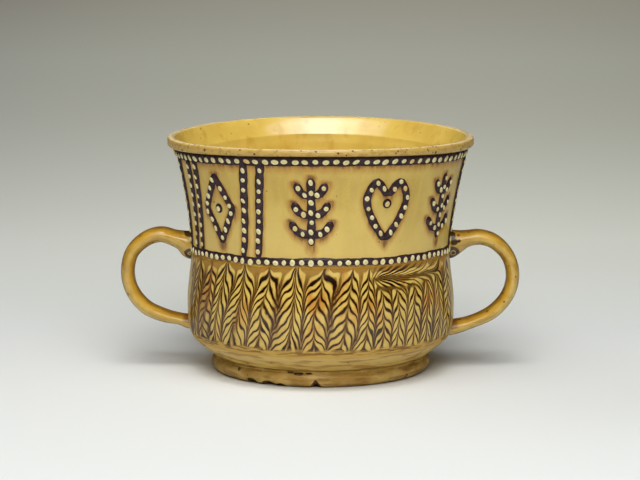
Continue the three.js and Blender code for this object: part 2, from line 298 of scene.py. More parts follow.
def spline(points, per_span):
    """Smooth run through points, with the same number of steps in each span."""
    p = [np.asarray(point, float) for point in points]
    p = [2 * p[0] - p[1], *p, 2 * p[-1] - p[-2]]
    run = []
    for i in range(1, len(p) - 2):
        knots = [0.0]
        for a, b in zip(p[i - 1 : i + 2], p[i : i + 3]):
            knots.append(knots[-1] + math.sqrt(np.linalg.norm(b - a)))
        t0, t1, t2, t3 = knots
        last = i == len(p) - 3
        for k in range(per_span + (1 if last else 0)):
            t = t1 + (t2 - t1) * k / per_span
            a1 = ((t1 - t) * p[i - 1] + (t - t0) * p[i]) / (t1 - t0)
            a2 = ((t2 - t) * p[i] + (t - t1) * p[i + 1]) / (t2 - t1)
            a3 = ((t3 - t) * p[i + 1] + (t - t2) * p[i + 2]) / (t3 - t2)
            b1 = ((t2 - t) * a1 + (t - t0) * a2) / (t2 - t0)
            b2 = ((t3 - t) * a2 + (t - t1) * a3) / (t3 - t1)
            run.append(((t2 - t) * b1 + (t - t1) * b2) / (t2 - t1))
    return run


def measured(run):
    """A run as an array, and how far along it each of its points lies."""
    p = np.array(run, float)
    lengths = np.linalg.norm(np.diff(p, axis=0), axis=1)
    return p, np.concatenate([[0], np.cumsum(lengths)])


def at_marks(p, along, marks):
    return np.stack([np.interp(marks, along, column) for column in p.T], -1)


def evenly(run, spacing):
    """The same run with points at an even spacing."""
    p, along = measured(run)
    count = max(2, round(along[-1] / spacing) + 1)
    return at_marks(p, along, np.linspace(0, along[-1], count))


def spaced(run, pitch):
    """Places at a pitch along a run, centred on it."""
    p, along = measured(run)
    count = int(along[-1] / pitch)
    marks = (along[-1] - pitch * (count - 1)) / 2 + pitch * np.arange(count)
    return at_marks(p, along, marks)


# Recipes for the materials
def srgb(red, green, blue):
    """A colour as it is read off a photograph, from 0 to 255, in linear light."""
    linear = []
    for part in (red / 255, green / 255, blue / 255):
        linear.append(part / 12.92 if part <= 0.04045 else ((part + 0.055) / 1.055) ** 2.4)
    return (*linear, 1.0)


class Value:
    """A socket of a material, with arithmetic that adds Math nodes."""

    def __init__(self, mix, socket):
        self.mix = mix
        self.socket = socket

    def __add__(self, other):
        return self.mix.math("ADD", self, other)

    def __radd__(self, other):
        return self.mix.math("ADD", other, self)

    def __sub__(self, other):
        return self.mix.math("SUBTRACT", self, other)

    def __rsub__(self, other):
        return self.mix.math("SUBTRACT", other, self)

    def __mul__(self, other):
        return self.mix.math("MULTIPLY", self, other)

    def __rmul__(self, other):
        return self.mix.math("MULTIPLY", other, self)

    def __truediv__(self, other):
        return self.mix.math("DIVIDE", self, other)


class Recipe:
    """A material in the making: colours laid one over another, then a surface."""

    def __init__(self, name):
        self.material = bpy.data.materials.new(name)
        self.material.use_nodes = True
        self.tree = self.material.node_tree
        self.tree.nodes.clear()
        self.position = self.node("ShaderNodeTexCoord", out="Object")
        self.x, self.y, self.z = self.parts(self.position)
        self.colour = None

    def node(self, kind, settings=None, sockets=None, out=0):
        """Any node: its type, its settings, then the values or links of its sockets."""
        made = self.tree.nodes.new(kind)
        for name, value in (settings or {}).items():
            if name == "stops":
                self.set_stops(made.color_ramp, value)
            else:
                setattr(made, name, value)
        for name, value in (sockets or {}).items():
            if isinstance(value, Value):
                self.tree.links.new(value.socket, made.inputs[name])
            else:
                made.inputs[name].default_value = value
        return Value(self, made.outputs[out]) if made.outputs else None

    def set_stops(self, ramp, stops):
        while len(ramp.elements) < len(stops):
            ramp.elements.new(1.0)
        for element, (place, colour) in zip(ramp.elements, stops):
            element.position = place
            element.color = colour

    def math(self, operation, *values):
        return self.node("ShaderNodeMath", {"operation": operation}, dict(enumerate(values)))

    def read(self, name):
        """A number painted on the piece."""
        return self.node("ShaderNodeAttribute", {"attribute_name": name}, out="Fac")

    def step(self, value, low, high):
        """Rises smoothly from 0 at low to 1 at high."""
        span = {"Value": value, "From Min": low, "From Max": high}
        return self.node("ShaderNodeMapRange", {"interpolation_type": "SMOOTHSTEP"}, span)

    def parts(self, vector):
        """The three numbers of a place or a colour."""
        split = self.tree.nodes.new("ShaderNodeSeparateXYZ")
        self.tree.links.new(vector.socket, split.inputs[0])
        return [Value(self, socket) for socket in split.outputs]

    def scaled(self, scale, stretch, shift):
        """The place on the piece in spots, from a number of spots to the metre."""
        sockets = {
            "Vector": self.position,
            "Scale": tuple(scale * s for s in stretch),
            "Location": (shift, shift, shift),
        }
        return self.node("ShaderNodeMapping", sockets=sockets)

    def noise(self, scale, detail=3.0, stretch=(1, 1, 1), shift=0.0):
        """Cloudy noise from 0 to 1. The scale is in spots to the metre."""
        place = self.scaled(scale, stretch, shift)
        sockets = {"Vector": place, "Scale": 1.0, "Detail": detail}
        return self.node("ShaderNodeTexNoise", sockets=sockets)

    def waver(self, reach, scale, detail=3.0, stretch=(1, 1, 1), shift=0.0):
        """Noise about 0 that goes half its reach to either side."""
        return (self.noise(scale, detail, stretch, shift) - 0.5) * reach

    def specks(self, scale, size, share, shift=0.0):
        """Round specks on about a share of the cells of a net, 1 in a speck and 0 between."""
        place = self.scaled(scale, (1, 1, 1), shift)
        cells = {"Vector": place, "Scale": 1.0, "Randomness": 1.0}
        distance = self.node("ShaderNodeTexVoronoi", sockets=cells, out="Distance")
        colour = self.node("ShaderNodeTexVoronoi", sockets=cells, out="Color")
        draw, big = self.parts(colour)[:2]
        chosen = self.step(draw, 1 - share, 1 - share + 0.02)
        radius = size * (0.45 + 0.55 * big)
        return chosen * (1 - self.step(distance / radius, 0.7, 1.0))

    def random(self, number):
        return self.node("ShaderNodeTexWhiteNoise", {"noise_dimensions": "1D"}, {"W": number})

    def blend(self, factor, a, b):
        """Colour a turning into colour b as the factor goes from 0 to 1."""
        made = self.tree.nodes.new("ShaderNodeMix")
        made.data_type = "RGBA"
        for place, value in ((0, factor), (6, a), (7, b)):
            if isinstance(value, Value):
                self.tree.links.new(value.socket, made.inputs[place])
            else:
                made.inputs[place].default_value = value
        return Value(self, made.outputs[2])

    def lay(self, factor, colour):
        """Lays a colour over the colours so far."""
        self.colour = self.blend(factor, self.colour, colour)

    def blotch(self, strength, colour, low, high, scale, detail=3.0, stretch=(1, 1, 1), shift=0.0):
        """Lays a colour in the patches where noise rises from low to high."""
        patches = self.step(self.noise(scale, detail, stretch, shift), low, high)
        self.lay(patches * strength, colour)

    def bump(self, height, distance, strength=1.0):
        sockets = {"Height": height, "Distance": distance, "Strength": strength}
        return self.node("ShaderNodeBump", sockets=sockets)

    def surface(self, sockets):
        """Ends the recipe with its surface, which shines only by its glaze."""
        sockets = {"Base Color": self.colour, "Specular IOR Level": 0.0, **sockets}
        shader = self.node("ShaderNodeBsdfPrincipled", sockets=sockets)
        self.node("ShaderNodeOutputMaterial", sockets={"Surface": shader})
        return self.material

    def glaze(self, roughness, normal, coat=0.46, coat_roughness=0.06):
        """Clay or slip under a lead glaze."""
        sockets = {"Roughness": roughness, "Normal": normal, "Coat Weight": coat}
        return self.surface({**sockets, "Coat Roughness": coat_roughness, "Coat IOR": 1.8})


def height_on_wall(mix):
    """Height of a point as it was before the mouth took its saddle, and its angle in turns."""
    x, y, z = mix.x, mix.y, mix.z
    cos2 = (x * x - y * y) / mix.math("MAXIMUM", x * x + y * y, 1e-6)
    share = mix.node(
        "ShaderNodeMapRange",
        sockets={"Value": z, "From Min": belly_z, "From Max": flare_z, "To Max": saddle_at_flare},
    )
    turns = mix.math("ARCTAN2", y, x) / math.tau
    return z + share * cos2, turns


def iron_specks(mix, dense=1.0):
    """Burnt iron in the clay that shows through the glaze as dark brown specks."""
    mix.lay(mix.specks(420, 0.20, 0.06 * dense) * 0.75, srgb(84, 50, 20))
    mix.lay(mix.specks(150, 0.15, 0.05 * dense, 3.1) * 0.85, srgb(58, 32, 14))


def yellow_ground(mix, height, cloud):
    """Buff clay under yellow glaze, cloudy, with faint runs down the wall, and painted light that
    makes it paler low down.
    """
    mix.colour = mix.blend(mix.step(cloud, 0.35, 0.65), srgb(209, 180, 91), srgb(197, 165, 76))
    mix.blotch(0.35, srgb(226, 190, 92), 0.45, 0.75, 260, 3, (1, 1, 0.12))
    mix.blotch(0.25, srgb(180, 142, 62), 0.55, 0.75, 1100, 2)
    # Painted light: the lower wall is painted paler, as if lit more, fading out higher up
    mix.lay(mix.step(height, flare_z - 16 * mm, waist_z + 4 * mm) * 0.45, srgb(232, 202, 118))
    return mix.colour


def hollow_glaze(mix, cloud):
    """The inside: a richer yellow, pooled darker on the floor, blotched, with pin holes."""
    mix.colour = mix.blend(mix.step(cloud, 0.3, 0.7), srgb(230, 198, 96), srgb(216, 180, 80))
    pooled = 1 - mix.step(mix.z, neck_z + floor_thickness, neck_z + 30 * mm)
    mix.lay(pooled * 0.5, srgb(186, 140, 48))
    mix.blotch(0.4, srgb(192, 146, 50), 0.52, 0.7, 170, 3, (1, 1, 0.5), 7.7)
    mix.lay(mix.specks(240, 0.17, 0.4, 8.4) * 0.8, srgb(132, 90, 36))
    return mix.colour


def bled_slip(mix):
    """Dark slip that has bled into the glaze below and beside each trail."""
    streak = mix.noise(520, 3, (1, 1, 0.3), shift=1.7)
    bled = mix.read("halo") * (0.55 + 0.9 * streak)
    mix.lay(mix.step(bled, 0.25, 0.95) * 0.65, srgb(176, 116, 34))
    mix.lay(mix.step(bled, 0.75, 1.15) * 0.8, srgb(104, 58, 24))


def turned_heel(mix, height, outside):
    """Brown turning streaks round the heel, and small pits."""
    heel = mix.step(height, coat_bottom_z + 3 * mm, coat_bottom_z) * outside
    mix.lay(heel * 0.55, srgb(190, 156, 92))
    mix.blotch(heel * 0.6, srgb(136, 96, 42), 0.46, 0.62, 75, 4, (1, 1, 7), 4.9)
    mix.lay(mix.specks(260, 0.22, 0.16, 2.6) * heel * 0.8, srgb(84, 54, 24))


def worn_lip(mix, height, outside):
    """A duller band outside the lip, worn pale at the crest. Gives its row of pits."""
    band = mix.step(height, flare_z - 0.4 * mm, flare_z + 0.6 * mm) * outside
    mix.lay(band * 0.6, srgb(186, 152, 82))
    mix.blotch(band * 0.5, srgb(160, 116, 62), 0.45, 0.65, 420, 3, (1, 1, 1.6), 6.1)
    pits = mix.specks(400, 0.36, 0.75, shift=5.3)
    pitted = pits * band * mix.step(mix.noise(60, 2, shift=2.2), 0.4, 0.5)
    mix.lay(pitted * 0.9, srgb(60, 36, 16))
    rubbed = mix.step(mix.noise(300, 3, shift=4.4), 0.25, 0.5)
    worn = mix.step(mix.read("crest"), 0.6, 0.85) * rubbed
    mix.lay(worn * 0.85 * (1 - 0.8 * pits), srgb(242, 218, 170))
    return pitted


def honey_glaze():
    mix = Recipe("honey_glaze")
    height, turns = height_on_wall(mix)
    inside = mix.read("inside")
    outside = 1 - inside
    cloud = mix.noise(55, 4)
    ground = yellow_ground(mix, height, cloud)
    mix.colour = mix.blend(inside, ground, hollow_glaze(mix, cloud))
    bled_slip(mix)
    turned_heel(mix, height, outside)
    pitted = worn_lip(mix, height, outside)
    iron_specks(mix)
    roughness = 0.34 + 0.16 * mix.noise(90, 3, shift=0.8)
    throwing = mix.math("SINE", height * (math.tau / throwing_pitch) + turns * math.tau)
    skin = mix.noise(190, 3, shift=6.0) * 1.2 + throwing * 0.12 - pitted
    normal = mix.bump(skin, 0.12 * mm, 0.8)
    return mix.glaze(roughness, normal, coat=0.46 + 0.5 * inside, coat_roughness=0.17)


def foot_glaze():
    mix = Recipe("foot_glaze")
    cloud = mix.noise(110, 4, (1, 1, 1.6))
    mix.colour = mix.blend(mix.step(cloud, 0.35, 0.65), srgb(198, 164, 92), srgb(168, 130, 64))
    mix.blotch(0.5, srgb(158, 132, 58), 0.52, 0.68, 150, 3, shift=5.5)
    mix.blotch(0.55, srgb(122, 82, 34), 0.5, 0.66, 85, 4, (1, 1, 7), 2.0)
    low = 1 - mix.step(mix.z, 0.2 * mm, 1.6 * mm)
    mix.lay(low * 0.6, srgb(96, 66, 32))
    iron_specks(mix, 1.6)
    under = 1 - mix.step(mix.z, 0.0, 0.08 * mm)
    roughness = 0.42 + 0.2 * cloud
    skin = mix.noise(260, 4) + 0.6 * mix.noise(900, 2)
    mix.lay(under * 0.5, srgb(178, 150, 104))
    return mix.glaze(roughness, mix.bump(skin, 0.2 * mm), 0.2, 0.24)


def bare_clay_and_pit_shade():
    mix = Recipe("bare_clay_and_pit_shade")
    grain = mix.noise(900, 4)
    # Bare clay, its dark tone partly painted shade for the hollows of the chips
    mix.colour = mix.blend(mix.step(grain, 0.35, 0.7), srgb(150, 126, 84), srgb(96, 68, 42))
    return mix.glaze(0.85, mix.bump(grain, 0.2 * mm), 0.0)


# Touches of dark slip at the upper joints, one also painted crease shade: x, z, radius, and the
# radius of a pale ring in it
slip_and_shade_touches = [
    # Above the left joint: dark slip, and painted shade for the crease there, which is not modelled
    (-waist_radius - 1.2 * mm, waist_z + 8.2 * mm, 2.6 * mm, 0.0),
    (-waist_radius - 0.9 * mm, waist_z - 1.6 * mm, 2.8 * mm, 0.7 * mm),
    (waist_radius + 1.2 * mm, waist_z + 6.6 * mm, 1.7 * mm, 0.0),
    (waist_radius + 2.0 * mm, waist_z + 3.8 * mm, 1.9 * mm, 0.0),
    (waist_radius + 4.2 * mm, waist_z + 4.2 * mm, 0.9 * mm, 0.0),
    (waist_radius + 1.5 * mm, waist_z - 1.4 * mm, 3.6 * mm, 1.1 * mm),
]


def slip_and_shade_touch(mix, place_x, place_z, radius, ring):
    """A touch of dark slip on the front of a handle's joint, ragged at its edge; in the crease above
    the left joint also painted shade.
    """
    across, up = mix.x - place_x, mix.z - place_z
    away = mix.math("SQRT", across * across + up * up)
    away = away + mix.waver(1.2 * mm, 500, 2, shift=place_z)
    front = mix.step(mix.y, 1 * mm, -1 * mm)
    dark = (1 - mix.step(away, radius * 0.75, radius)) * front
    mix.lay(dark * 0.92, srgb(48, 28, 22))
    if ring:
        off_ring = mix.math("ABSOLUTE", away - ring)
        pale = (1 - mix.step(off_ring, 0.15 * mm, 0.4 * mm)) * front
        mix.lay(pale * 0.7, srgb(196, 168, 110))


def handle_glaze():
    mix = Recipe("handle_glaze")
    cloud = mix.noise(80, 4)
    mix.colour = mix.blend(mix.step(cloud, 0.35, 0.65), srgb(206, 172, 80), srgb(180, 142, 56))
    mix.blotch(0.6, srgb(150, 108, 40), 0.46, 0.68, 420, 3, (0.35, 2.2, 0.35), 3.0)
    mix.blotch(0.5, srgb(172, 116, 34), 0.5, 0.66, 150, 3, shift=9.0)

    # Painted shade and reflection: faces turned up and inward are painted deeper amber, faces turned
    # down a pale painted reflection of the floor
    pooled = mix.read("pooled") + mix.waver(0.7, 120, 3, shift=2.0)
    mix.lay(mix.step(pooled, -0.25, 0.45) * 0.6, srgb(200, 152, 40))
    mix.lay(mix.step(pooled, -0.4, -1.0) * 0.45, srgb(228, 204, 136))
    # Painted shade: faces turned away from the front are painted brown, and faces turned to the front
    # get a pale painted sheen
    edge = mix.read("edge") + mix.waver(0.5, 200, 3, shift=4.0)
    mix.lay(mix.step(edge, 0.35, 0.85) * 0.8, srgb(124, 84, 30))
    mix.lay((1 - mix.step(edge, 0.0, 0.35)) * 0.2, srgb(230, 204, 130))

    # Specks, pits, and brown glaze caught in the corners over the lower joints
    iron_specks(mix, 3.5)
    mix.lay(mix.specks(190, 0.2, 0.9, 6.6) * 0.75, srgb(98, 60, 22))
    off_axis = mix.math("ABSOLUTE", mix.x)
    corner = mix.step(off_axis, belly_radius + 3.2 * mm, belly_radius + 0.8 * mm)
    corner = corner * mix.step(mix.z, waist_z - 8 * mm, waist_z - 12 * mm)
    mix.lay(corner * mix.step(pooled, -0.1, 0.3) * 0.8, srgb(120, 70, 22))
    for touch in slip_and_shade_touches:
        slip_and_shade_touch(mix, *touch)

    roughness = 0.34 + 0.14 * cloud
    pulled = mix.noise(600, 2, (0.12, 1.6, 0.12), shift=1.0)
    skin = pulled + 0.8 * mix.noise(260, 3)
    return mix.glaze(roughness, mix.bump(skin, 0.18 * mm), coat_roughness=0.17)


def dark_slip():
    mix = Recipe("dark_slip")
    rise = mix.read("rise")
    cloud = mix.noise(420, 3)
    # Partly painted sheen: the lighter purplish grey stays on the tops, and the edges, where the slip
    # is thin, are laid darker
    mix.colour = mix.blend(mix.step(cloud, 0.4, 0.65), srgb(50, 34, 36), srgb(66, 48, 54))
    thin_unsheened_edge = 1 - mix.step(rise, 0.1, 0.75)
    edge = mix.noise(700, 3, shift=1.0)
    mix.lay(thin_unsheened_edge * mix.step(edge, 0.3, 0.8), srgb(36, 18, 12))
    roughness = 0.3 + 0.15 * cloud
    return mix.glaze(roughness, mix.bump(mix.noise(350, 3), 0.1 * mm), 0.2, 0.24)


def cream_dot():
    mix = Recipe("cream_dot")
    across = mix.read("across")
    cloud = mix.noise(500, 3)
    rim = mix.blend(mix.step(cloud, 0.35, 0.7), srgb(236, 226, 178), srgb(222, 206, 142))
    uneven = across + 0.35 * (cloud - 0.5)
    mix.colour = mix.blend(0.6 * (1 - mix.step(uneven, 0.1, 0.6)), rim, srgb(206, 186, 96))
    mix.lay(mix.read("stain") * 0.7, srgb(212, 162, 84))
    mix.lay(mix.step(uneven, 0.9, 1.05) * 0.7, srgb(110, 84, 44))
    return mix.glaze(0.35, mix.bump(cloud, 0.05 * mm))


# Feathering: bands of slip dragged down and up in turn by a tool, all round the belly
tool_pairs = 36
tool_spacing = math.tau * belly_radius / tool_pairs
down_reach = 8.8 * mm
up_reach = 7.4 * mm
down_width = 1.2 * mm
up_width = 1.0 * mm
band_period = 4.6 * mm
tool_lean = 0.17
swirl_z = coat_top_z - 6.2 * mm
swirl_reach = 24 * mm


def falling_off(mix, distance, width):
    """1 on a line, fading by e with each width away from it."""
    return mix.math("EXPONENT", 0 - distance / width)


def sideways_stroke(mix, height, turns):
    """One stroke dragged round the cup near the top: how far it pulls, and its share."""
    begun = mix.step(turns, -70 / 360, -62 / 360)
    along = begun * (1 - mix.step(turns, -54 / 360, -16 / 360))
    off_line = mix.math("ABSOLUTE", height - swirl_z)
    share = along * (1 - mix.step(off_line, 3.2 * mm, 7.5 * mm))
    return swirl_reach * along * falling_off(mix, off_line, 2.6 * mm), share


def tool_columns(mix, height, turns, pulled):
    """Counts the tool's strokes round the belly: whole numbers down, halves up."""
    crowding = 0.42 * mix.math("SINE", turns * (3 * math.tau) + 2.72)
    lean = (height - belly_z) * (tool_lean / tool_spacing)
    wander = mix.waver(0.9, 75, 2, (1, 1, 0.5), 9.0)
    return (turns + 0.5) * tool_pairs + crowding - lean + wander + pulled / tool_spacing


def feathered_slip():
    mix = Recipe("feathered_slip")
    height, turns = height_on_wall(mix)
    waver = mix.waver(5.0 * mm, 120, 3, shift=5.0)
    pulled, swirl = sideways_stroke(mix, height + waver * 0.3, turns)
    still = 1 - swirl
    count = tool_columns(mix, height, turns, pulled)

    # Each stroke carries the bands with it, less and less to either side
    to_down = mix.math("PINGPONG", count, 0.5) * tool_spacing
    to_up = 0.5 * tool_spacing - to_down
    down_pull = falling_off(mix, to_down, down_width)
    up_pull = falling_off(mix, to_up, up_width)
    down_share = 0.45 + 0.85 * mix.random(mix.math("ROUND", count))
    up_share = 0.4 + 0.9 * mix.random(mix.math("FLOOR", count) + 100.5)
    started = mix.step(height, coat_top_z - 1 * mm, coat_top_z - 10 * mm)
    risen = mix.step(height, coat_bottom_z, coat_bottom_z + 8 * mm)
    drag = down_reach * down_pull * down_share * started - up_reach * up_pull * up_share * risen
    source = height + drag * still + waver

    # Dark bands as they were trailed, some bold and some thin
    band = source / band_period
    line = mix.math("ROUND", band)
    off_line = mix.math("ABSOLUTE", band - line) * 2
    blot = mix.waver(0.3, 200, 2, shift=4.0)
    weight = mix.random(line + 40.5)
    core = mix.math("MAXIMUM", down_pull * started, up_pull * risen)
    low = mix.step(height, coat_top_z - 12 * mm, coat_bottom_z + 8 * mm)
    blob = mix.step(mix.noise(95, 2, shift=12.0), 0.56, 0.68) * low
    bold = 0.2 + 0.36 * weight * weight + blot + 0.3 * core + 0.3 * blob
    fuzz = mix.waver(0.06, 1100, 2, shift=7.0)
    dark = 1 - mix.step(off_line + fuzz, bold - 0.07, bold + 0.07)
    dark = dark * mix.step(source, coat_top_z - 2.5 * mm, coat_top_z - 4.5 * mm)

    # Along the sideways stroke the other strokes are drawn out into hairpins
    pair = count * 2
    hairpin = mix.math("ROUND", pair)
    off_pair = mix.math("ABSOLUTE", pair - hairpin)
    wide = 0.1 + 0.22 * mix.random(hairpin + 7.5)
    drawn = 1 - mix.step(off_pair, wide - 0.05, wide + 0.05)
    dark = mix.math("MAXIMUM", dark * (1 - 0.5 * swirl), drawn * swirl)

    # Cream fields, golden in their middles, amber where the glaze ran
    cloud = mix.noise(160, 3)
    field = mix.step(off_line, bold + 0.04, bold + 0.34)
    cream = mix.blend(field, srgb(164, 122, 48), srgb(218, 188, 98))
    cream = mix.blend(low * 0.6, cream, srgb(206, 176, 100))
    amber = mix.step(mix.noise(140, 3, (1, 1, 0.4), shift=2.4), 0.5, 0.66)
    cream = mix.blend(amber * (0.72 - 0.5 * low), cream, srgb(192, 118, 34))
    cream = mix.blend(mix.step(cloud, 0.5, 0.75) * 0.35, cream, srgb(178, 140, 56))
    deep = mix.blend(low * mix.step(cloud, 0.3, 0.6), srgb(34, 16, 6), srgb(70, 46, 38))
    green = mix.step(mix.noise(130, 2, shift=3.9), 0.5, 0.62)
    deep = mix.blend(low * green * 0.7, deep, srgb(58, 62, 48))

    # Drawn thin along the strokes, the slips mix to brown
    mix.colour = mix.blend(dark, cream, deep)
    threads = mix.step(mix.noise(1300, 2, (1, 1, 0.12), shift=8.0), 0.35, 0.65)
    beside = mix.step(mix.x, belly_radius * -0.72, belly_radius * -0.88) * 0.32
    in_down = mix.step(down_pull + beside, 0.25, 0.7) * (0.6 + 0.36 * threads) * still
    in_up = mix.step(up_pull + beside, 0.28, 0.75) * (0.45 + 0.45 * threads) * still
    brown = mix.blend(low * 0.7, srgb(84, 48, 18), srgb(88, 60, 44))
    mix.lay(in_down * started, brown)
    mix.lay(in_up * risen, srgb(104, 66, 28))

    # The lower edge was wiped: brown streaks round the cup, then plain glaze
    ragged = mix.waver(4.0 * mm, 120, 3, (1, 1, 3), 3.3)
    wiped = mix.step(height + ragged, coat_bottom_z + 4.0 * mm, coat_bottom_z + 2.2 * mm)
    streaks = mix.step(mix.noise(150, 3, (1, 1, 8), shift=2.7), 0.42, 0.6)
    fading = mix.step(height, coat_bottom_z - 0.6 * mm, coat_bottom_z + 1.8 * mm)
    plain = mix.blend(streaks * fading * 0.8, srgb(196, 158, 74), srgb(112, 72, 34))
    mix.lay(wiped, plain)
    over = mix.step(height + ragged * 0.3, coat_top_z - 1.6 * mm, coat_top_z - 0.4 * mm)
    mix.lay(over * 0.6, srgb(196, 146, 56))
    # Under each handle the slip was wiped off and only glaze is left
    frayed = mix.waver(9 * mm, 190, 3, (1, 1, 0.3), 1.1)
    bare = 1 - mix.step(mix.math("ABSOLUTE", mix.y) + frayed, 13.5 * mm, 15.0 * mm)
    glazed = mix.blend(mix.noise(90, 3, shift=6.6), srgb(206, 180, 116), srgb(184, 152, 88))
    mix.lay(bare * 0.92, glazed)
    iron_specks(mix, 0.6)

    skin = dark * 0.4 + mix.noise(220, 3) * 0.8
    return mix.glaze(0.34 + 0.1 * cloud, mix.bump(skin, 0.12 * mm, 0.8), 0.28, 0.1)


# Thrown body
def lip_profile():
    """Rounded lip from the flare's top over the crest to the throat, as a squared arc."""
    middle = lip_radius - lip_band_depth / 2
    points = []
    for degrees in range(-90, 131, 10):
        a = math.radians(degrees)
        out = math.copysign(abs(math.cos(a)) ** 0.75, math.cos(a))
        up = math.copysign(abs(math.sin(a)) ** 0.75, math.sin(a))
        points.append((middle + lip_band_depth / 2 * out, lip_mid_z + lip_band_height / 2 * up))
    return points


def body_profile():
    floor_z = neck_z + floor_thickness
    corner_z = floor_z + floor_corner
    throat_z = flare_z - lip_throat + lip_band_height
    outside = [(radius_at(z), z) for z in np.arange(neck_z + 0.4 * mm, flare_z, 0.95 * mm)]
    throwing = lambda z: ring_height * math.sin(math.tau * z / ring_pitch)
    lip = lip_profile()
    mouth_r, mouth_z = lip[-1]
    throat_r = radius_at(throat_z) - wall_thickness
    inside = []
    for t in (*np.linspace(0.08, 0.92, 8), 0.97, 0.995):
        inside.append((mouth_r + (throat_r - mouth_r) * t, mouth_z + (throat_z - mouth_z) * t))
    for z in (throat_z - 0.25 * mm, *np.arange(throat_z - 0.7 * mm, corner_z, -1.3 * mm)):
        inside.append((radius_at(z) - wall_thickness + throwing(z), z))
    corner_r = radius_at(corner_z) - wall_thickness
    for degrees in range(0, 91, 6):
        a = math.radians(degrees)
        r = corner_r - floor_corner * (1 - math.cos(a))
        inside.append((r, corner_z - floor_corner * math.sin(a)))
    floor_edge = corner_r - floor_corner
    floor = []
    for r in np.arange(floor_edge - 1.5 * mm, 1.5 * mm, -1.5 * mm):
        floor.append((r, floor_z + 0.16 * mm * math.sin(math.tau * r / (6.5 * mm))))
    under = [(r, neck_z) for r in (0.0, 20 * mm, 40 * mm, neck_radius - 0.5 * mm)]
    return [*under, *outside, *lip, *inside, *floor, (0.0, floor_z + 0.5 * mm)]


def shape_to_hand(piece):
    """Gives a turned piece the body's slow unevenness and the saddle of its mouth."""
    co = points_of(piece)
    angle = np.arctan2(co[:, 1], co[:, 0])
    r = np.hypot(co[:, 0], co[:, 1])
    grown = r + thrown_unevenness(angle, co[:, 2]) * np.clip(r / neck_radius, 0, 1)
    grown = np.minimum(grown, lip_radius)
    height = co[:, 2] - saddle(angle, co[:, 2])
    set_points(piece, np.stack([grown * np.cos(angle), grown * np.sin(angle), height], -1))


def halo_at(angle, z, runs):
    """How strongly dark slip has bled into the glaze, from 1 at a trail to 0 well away."""
    reach = 3.4 * mm
    strongest = np.zeros(len(z))
    near = (z > lower_border_z - 6 * mm) & (z < flare_z + 0.5 * mm)
    places = np.nonzero(near)[0]
    marks = np.concatenate([evenly(run, 1.0 * mm) for run in runs])
    for part in np.array_split(places, 60):
        turn = angle[part][:, None] - marks[:, 0][None, :] / wall_radius(motif_z)
        turn = (turn + math.pi) % math.tau - math.pi
        across = turn * wall_radius(z[part])[:, None]
        down = marks[:, 1][None, :] - z[part][:, None]
        down = np.where(down > 0, down * 0.6, down * 2.2)
        gap = np.sqrt(across**2 + down**2).min(1) - trail_width / 2 * 0.8
        strongest[part] = np.clip(1 - gap / reach, 0, 1)
    return strongest


def make_body(finish_with, runs):
    piece = turned(body_profile(), 384)
    shape_to_hand(piece)
    co = points_of(piece)
    r = np.hypot(co[:, 0], co[:, 1])
    angle = np.arctan2(co[:, 1], co[:, 0])
    z = co[:, 2] + saddle(angle, co[:, 2])
    middle = np.where(z < flare_z, wall_radius(np.minimum(z, flare_z)) - wall_thickness / 2,
                      lip_radius - lip_band_depth / 2 - 0.3 * mm)
    inside = (r < middle) & (z > neck_z + floor_thickness - 1 * mm)
    paint(piece, "inside", inside)
    crest_top = lip_mid_z + lip_band_height / 2
    paint(piece, "crest", np.clip(1 - (crest_top - z) / (0.8 * mm), 0, 1))
    halo = halo_at(angle, z, runs)
    paint(piece, "halo", np.where(inside, 0, halo))
    piece.data.materials.append(finish_with)
    return finish(piece, "thrown_body", "body_glaze", "vessel_body")


def make_coat(finish_with):
    heights = np.arange(coat_bottom_z, coat_top_z + 0.5 * mm, 1.3 * mm)
    outer = [(radius_at(z) + coat_lift, z) for z in heights]
    inner = [(radius_at(z) - 0.5 * mm, z) for z in (heights[-1], *heights[::-4], heights[0])]
    tuck = 0.25 * mm
    first = (radius_at(heights[0]) - tuck, heights[0] - 0.6 * mm)
    last = (radius_at(heights[-1]) - tuck, heights[-1] + 0.6 * mm)
    piece = turned([first, *outer, last, *inner, first], 300)
    shape_to_hand(piece)
    piece.data.materials.append(finish_with)
    return finish(piece, "feathered_coat", "feathered_slip", "feathered_slip_coat")


# Turned foot, and what has broken off it: angle, height up the foot, width, height
chips = [
    (231.5, 0.8, 6.6, 4.2),
    (242.0, 0.6, 7.4, 4.0),
    (248.5, 0.4, 5.0, 3.0),
    (222.5, 5.7, 2.0, 2.0),
    (320.6, 1.9, 2.5, 2.4),
    (309.0, 0.2, 4.0, 1.6),
    (254.0, 6.9, 3.6, 1.0),
    (258.6, 6.4, 4.6, 1.4),
    (263.9, 6.6, 3.2, 1.0),
]
foot_edge = 3.5 * mm
rest_ring = 9.5 * mm
foot_hollow = 0.9 * mm

# A wedge-shaped notch in its lower edge, near the middle of the front
notch_angle = 267.4
notch_reach = 6.9 * mm
notch_length = 8 * mm
notch_flatness = 0.6


def foot_surface(z):
    """Radius of the foot's rounded side at a height."""
    up = ((z + 0.03 * foot_height) / (foot_height / 2) - 1) / 0.94
    return foot_radius - foot_edge + foot_edge * math.sqrt(max(0.0, 1 - up * up))


def break_off(piece, tool, chip_finish):
    """Cuts a rough tool out of a piece and leaves bare clay there, darkened partly as painted shade.
    """
    settle(tool)
    co = points_of(tool)
    middle = co.mean(0)
    rough = 1 + 0.1 * np.sin(1900 * co[:, 0] + 2300 * co[:, 2]) * np.sin(2100 * co[:, 1])
    set_points(tool, middle + (co - middle) * rough[:, None])
    tool.data.materials.append(chip_finish)
    apply_modifier(piece, "BOOLEAN", operation="DIFFERENCE", object=tool, solver="EXACT",
                   material_mode="TRANSFER")
    bpy.data.objects.remove(tool)


